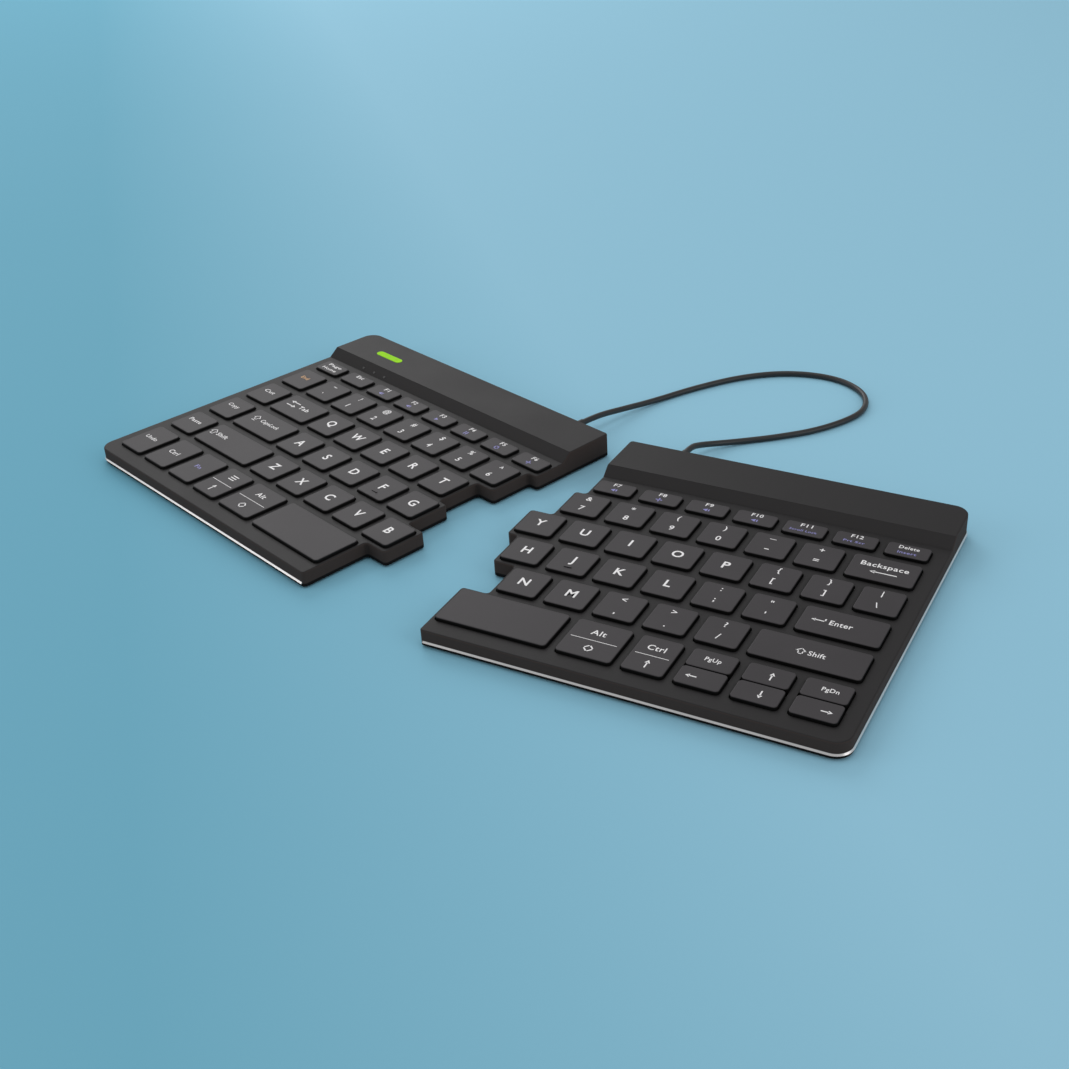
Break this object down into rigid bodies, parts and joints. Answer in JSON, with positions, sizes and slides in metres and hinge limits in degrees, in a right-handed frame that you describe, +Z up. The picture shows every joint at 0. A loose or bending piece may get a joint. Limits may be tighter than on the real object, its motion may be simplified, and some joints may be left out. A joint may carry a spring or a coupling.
{
  "type": "split keyboard",
  "caption": "Low split keyboard: two black halves with stepped inner edges and bright trim strips, keys that travel, raised rear bars, joined by a thin link cord.",
  "frame": {"origin": "on the desk under the middle of the two halves, with the link cord left out", "axes": "X along the front to the right, Y to the rear bars, Z up"},
  "size_m": [0.3582, 0.2645, 0.0108],
  "materials": {
    "base_plastic": "black moulded plastic, fine texture",
    "case_plastic": "matte black soft-touch plastic",
    "bright_trim": "bright silver-white lacquered plastic strip",
    "plate_steel": "zinc-plated sheet steel",
    "membrane_film": "milky printed polyester film",
    "dome_rubber": "translucent silicone rubber",
    "foot_rubber": "dark rubber",
    "screw_steel": "blackened steel",
    "battery_wrap": "grey shrink wrap",
    "board_laminate": "green solder mask",
    "socket_steel": "bright drawn steel shell",
    "lens_plastic": "clear moulded lenses, the wide one tinted green",
    "relief_rubber": "soft black rubber",
    "cord_jacket": "smooth black cord jacket",
    "knob_plastic": "black moulded plastic",
    "cap_plastic": "matte charcoal plastic with printed legends"
  },
  "bodies": {
    "left_half": {"left_base": "base_plastic", "left_top_case": "case_plastic", "left_trim": "bright_trim", "left_key_plate": "plate_steel", "left_membrane": "membrane_film", "left_domes": "dome_rubber", "left_feet": "foot_rubber", "left_screws": "screw_steel", "battery": "battery_wrap", "controller_board": "board_laminate", "charge_socket": "socket_steel", "indicator_lenses": "lens_plastic", "left_strain_relief": "relief_rubber", "right_strain_relief": "relief_rubber", "link_cord": "cord_jacket"},
    "right_half": {"right_base": "base_plastic", "right_top_case": "case_plastic", "right_trim": "bright_trim", "right_key_plate": "plate_steel", "right_membrane": "membrane_film", "right_domes": "dome_rubber", "right_feet": "foot_rubber", "right_screws": "screw_steel", "link_board": "board_laminate"},
    "power_switch": {"power_switch": "knob_plastic"},
    "key_q": {"key_q": "cap_plastic"},
    "key_w": {"key_w": "cap_plastic"},
    "key_e": {"key_e": "cap_plastic"},
    "key_r": {"key_r": "cap_plastic"},
    "key_t": {"key_t": "cap_plastic"},
    "key_a": {"key_a": "cap_plastic"},
    "key_s": {"key_s": "cap_plastic"},
    "key_d": {"key_d": "cap_plastic"},
    "key_f": {"key_f": "cap_plastic"},
    "key_g": {"key_g": "cap_plastic"},
    "key_z": {"key_z": "cap_plastic"},
    "key_x": {"key_x": "cap_plastic"},
    "key_c": {"key_c": "cap_plastic"},
    "key_v": {"key_v": "cap_plastic"},
    "key_b": {"key_b": "cap_plastic"},
    "key_space_left": {"key_space_left": "cap_plastic"},
    "left_modifier_keys": {"left_modifier_keys": "cap_plastic"},
    "left_upper_keys": {"left_upper_keys": "cap_plastic"},
    "left_column_keys": {"left_column_keys": "cap_plastic"},
    "key_y": {"key_y": "cap_plastic"},
    "key_u": {"key_u": "cap_plastic"},
    "key_i": {"key_i": "cap_plastic"},
    "key_o": {"key_o": "cap_plastic"},
    "key_p": {"key_p": "cap_plastic"},
    "key_h": {"key_h": "cap_plastic"},
    "key_j": {"key_j": "cap_plastic"},
    "key_k": {"key_k": "cap_plastic"},
    "key_l": {"key_l": "cap_plastic"},
    "key_n": {"key_n": "cap_plastic"},
    "key_m": {"key_m": "cap_plastic"},
    "key_space_right": {"key_space_right": "cap_plastic"},
    "key_enter": {"key_enter": "cap_plastic"},
    "key_backspace": {"key_backspace": "cap_plastic"},
    "right_side_keys": {"right_side_keys": "cap_plastic"},
    "right_upper_keys": {"right_upper_keys": "cap_plastic"}
  },
  "joints": [
    {"name": "halves_swivel", "type": "hinge", "parent": "left_half", "child": "right_half", "pos_m": [0.03688, 0.0643, 0.0063], "axis": [0, 0, 1], "range_deg": [-8, 8]},
    {"name": "power_switch_slide", "type": "slide", "parent": "left_half", "child": "power_switch", "axis": [0.9866, -0.1629, 0], "range_m": [0, 0.002]},
    {"name": "key_q_travel", "type": "slide", "parent": "left_half", "child": "key_q", "axis": [0, 0, 1], "range_m": [-0.0018, 0], "stiffness_N_per_m": 300, "springref_m": 0.0006, "deforming": ["left_domes"]},
    {"name": "key_w_travel", "type": "slide", "parent": "left_half", "child": "key_w", "axis": [0, 0, 1], "range_m": [-0.0018, 0], "stiffness_N_per_m": 300, "springref_m": 0.0006, "deforming": ["left_domes"]},
    {"name": "key_e_travel", "type": "slide", "parent": "left_half", "child": "key_e", "axis": [0, 0, 1], "range_m": [-0.0018, 0], "stiffness_N_per_m": 300, "springref_m": 0.0006, "deforming": ["left_domes"]},
    {"name": "key_r_travel", "type": "slide", "parent": "left_half", "child": "key_r", "axis": [0, 0, 1], "range_m": [-0.0018, 0], "stiffness_N_per_m": 300, "springref_m": 0.0006, "deforming": ["left_domes"]},
    {"name": "key_t_travel", "type": "slide", "parent": "left_half", "child": "key_t", "axis": [0, 0, 1], "range_m": [-0.0018, 0], "stiffness_N_per_m": 300, "springref_m": 0.0006, "deforming": ["left_domes"]},
    {"name": "key_a_travel", "type": "slide", "parent": "left_half", "child": "key_a", "axis": [0, 0, 1], "range_m": [-0.0018, 0], "stiffness_N_per_m": 300, "springref_m": 0.0006, "deforming": ["left_domes"]},
    {"name": "key_s_travel", "type": "slide", "parent": "left_half", "child": "key_s", "axis": [0, 0, 1], "range_m": [-0.0018, 0], "stiffness_N_per_m": 300, "springref_m": 0.0006, "deforming": ["left_domes"]},
    {"name": "key_d_travel", "type": "slide", "parent": "left_half", "child": "key_d", "axis": [0, 0, 1], "range_m": [-0.0018, 0], "stiffness_N_per_m": 300, "springref_m": 0.0006, "deforming": ["left_domes"]},
    {"name": "key_f_travel", "type": "slide", "parent": "left_half", "child": "key_f", "axis": [0, 0, 1], "range_m": [-0.0018, 0], "stiffness_N_per_m": 300, "springref_m": 0.0006, "deforming": ["left_domes"]},
    {"name": "key_g_travel", "type": "slide", "parent": "left_half", "child": "key_g", "axis": [0, 0, 1], "range_m": [-0.0018, 0], "stiffness_N_per_m": 300, "springref_m": 0.0006, "deforming": ["left_domes"]},
    {"name": "key_z_travel", "type": "slide", "parent": "left_half", "child": "key_z", "axis": [0, 0, 1], "range_m": [-0.0018, 0], "stiffness_N_per_m": 300, "springref_m": 0.0006, "deforming": ["left_domes"]},
    {"name": "key_x_travel", "type": "slide", "parent": "left_half", "child": "key_x", "axis": [0, 0, 1], "range_m": [-0.0018, 0], "stiffness_N_per_m": 300, "springref_m": 0.0006, "deforming": ["left_domes"]},
    {"name": "key_c_travel", "type": "slide", "parent": "left_half", "child": "key_c", "axis": [0, 0, 1], "range_m": [-0.0018, 0], "stiffness_N_per_m": 300, "springref_m": 0.0006, "deforming": ["left_domes"]},
    {"name": "key_v_travel", "type": "slide", "parent": "left_half", "child": "key_v", "axis": [0, 0, 1], "range_m": [-0.0018, 0], "stiffness_N_per_m": 300, "springref_m": 0.0006, "deforming": ["left_domes"]},
    {"name": "key_b_travel", "type": "slide", "parent": "left_half", "child": "key_b", "axis": [0, 0, 1], "range_m": [-0.0018, 0], "stiffness_N_per_m": 300, "springref_m": 0.0006, "deforming": ["left_domes"]},
    {"name": "key_space_left_travel", "type": "slide", "parent": "left_half", "child": "key_space_left", "axis": [0, 0, 1], "range_m": [-0.0018, 0], "stiffness_N_per_m": 300, "springref_m": 0.0006, "deforming": ["left_domes"]},
    {"name": "left_modifier_keys_travel", "type": "slide", "parent": "left_half", "child": "left_modifier_keys", "axis": [0, 0, 1], "range_m": [-0.0018, 0], "stiffness_N_per_m": 300, "springref_m": 0.0006, "deforming": ["left_domes"]},
    {"name": "left_upper_keys_travel", "type": "slide", "parent": "left_half", "child": "left_upper_keys", "axis": [0, 0, 1], "range_m": [-0.0018, 0], "stiffness_N_per_m": 300, "springref_m": 0.0006, "deforming": ["left_domes"]},
    {"name": "left_column_keys_travel", "type": "slide", "parent": "left_half", "child": "left_column_keys", "axis": [0, 0, 1], "range_m": [-0.0018, 0], "stiffness_N_per_m": 300, "springref_m": 0.0006, "deforming": ["left_domes"]},
    {"name": "key_y_travel", "type": "slide", "parent": "right_half", "child": "key_y", "axis": [0, 0, 1], "range_m": [-0.0018, 0], "stiffness_N_per_m": 300, "springref_m": 0.0006, "deforming": ["right_domes"]},
    {"name": "key_u_travel", "type": "slide", "parent": "right_half", "child": "key_u", "axis": [0, 0, 1], "range_m": [-0.0018, 0], "stiffness_N_per_m": 300, "springref_m": 0.0006, "deforming": ["right_domes"]},
    {"name": "key_i_travel", "type": "slide", "parent": "right_half", "child": "key_i", "axis": [0, 0, 1], "range_m": [-0.0018, 0], "stiffness_N_per_m": 300, "springref_m": 0.0006, "deforming": ["right_domes"]},
    {"name": "key_o_travel", "type": "slide", "parent": "right_half", "child": "key_o", "axis": [0, 0, 1], "range_m": [-0.0018, 0], "stiffness_N_per_m": 300, "springref_m": 0.0006, "deforming": ["right_domes"]},
    {"name": "key_p_travel", "type": "slide", "parent": "right_half", "child": "key_p", "axis": [0, 0, 1], "range_m": [-0.0018, 0], "stiffness_N_per_m": 300, "springref_m": 0.0006, "deforming": ["right_domes"]},
    {"name": "key_h_travel", "type": "slide", "parent": "right_half", "child": "key_h", "axis": [0, 0, 1], "range_m": [-0.0018, 0], "stiffness_N_per_m": 300, "springref_m": 0.0006, "deforming": ["right_domes"]},
    {"name": "key_j_travel", "type": "slide", "parent": "right_half", "child": "key_j", "axis": [0, 0, 1], "range_m": [-0.0018, 0], "stiffness_N_per_m": 300, "springref_m": 0.0006, "deforming": ["right_domes"]},
    {"name": "key_k_travel", "type": "slide", "parent": "right_half", "child": "key_k", "axis": [0, 0, 1], "range_m": [-0.0018, 0], "stiffness_N_per_m": 300, "springref_m": 0.0006, "deforming": ["right_domes"]},
    {"name": "key_l_travel", "type": "slide", "parent": "right_half", "child": "key_l", "axis": [0, 0, 1], "range_m": [-0.0018, 0], "stiffness_N_per_m": 300, "springref_m": 0.0006, "deforming": ["right_domes"]},
    {"name": "key_n_travel", "type": "slide", "parent": "right_half", "child": "key_n", "axis": [0, 0, 1], "range_m": [-0.0018, 0], "stiffness_N_per_m": 300, "springref_m": 0.0006, "deforming": ["right_domes"]},
    {"name": "key_m_travel", "type": "slide", "parent": "right_half", "child": "key_m", "axis": [0, 0, 1], "range_m": [-0.0018, 0], "stiffness_N_per_m": 300, "springref_m": 0.0006, "deforming": ["right_domes"]},
    {"name": "key_space_right_travel", "type": "slide", "parent": "right_half", "child": "key_space_right", "axis": [0, 0, 1], "range_m": [-0.0018, 0], "stiffness_N_per_m": 300, "springref_m": 0.0006, "deforming": ["right_domes"]},
    {"name": "key_enter_travel", "type": "slide", "parent": "right_half", "child": "key_enter", "axis": [0, 0, 1], "range_m": [-0.0018, 0], "stiffness_N_per_m": 300, "springref_m": 0.0006, "deforming": ["right_domes"]},
    {"name": "key_backspace_travel", "type": "slide", "parent": "right_half", "child": "key_backspace", "axis": [0, 0, 1], "range_m": [-0.0018, 0], "stiffness_N_per_m": 300, "springref_m": 0.0006, "deforming": ["right_domes"]},
    {"name": "right_side_keys_travel", "type": "slide", "parent": "right_half", "child": "right_side_keys", "axis": [0, 0, 1], "range_m": [-0.0018, 0], "stiffness_N_per_m": 300, "springref_m": 0.0006, "deforming": ["right_domes"]},
    {"name": "right_upper_keys_travel", "type": "slide", "parent": "right_half", "child": "right_upper_keys", "axis": [0, 0, 1], "range_m": [-0.0018, 0], "stiffness_N_per_m": 300, "springref_m": 0.0006, "deforming": ["right_domes"]}
  ]
}
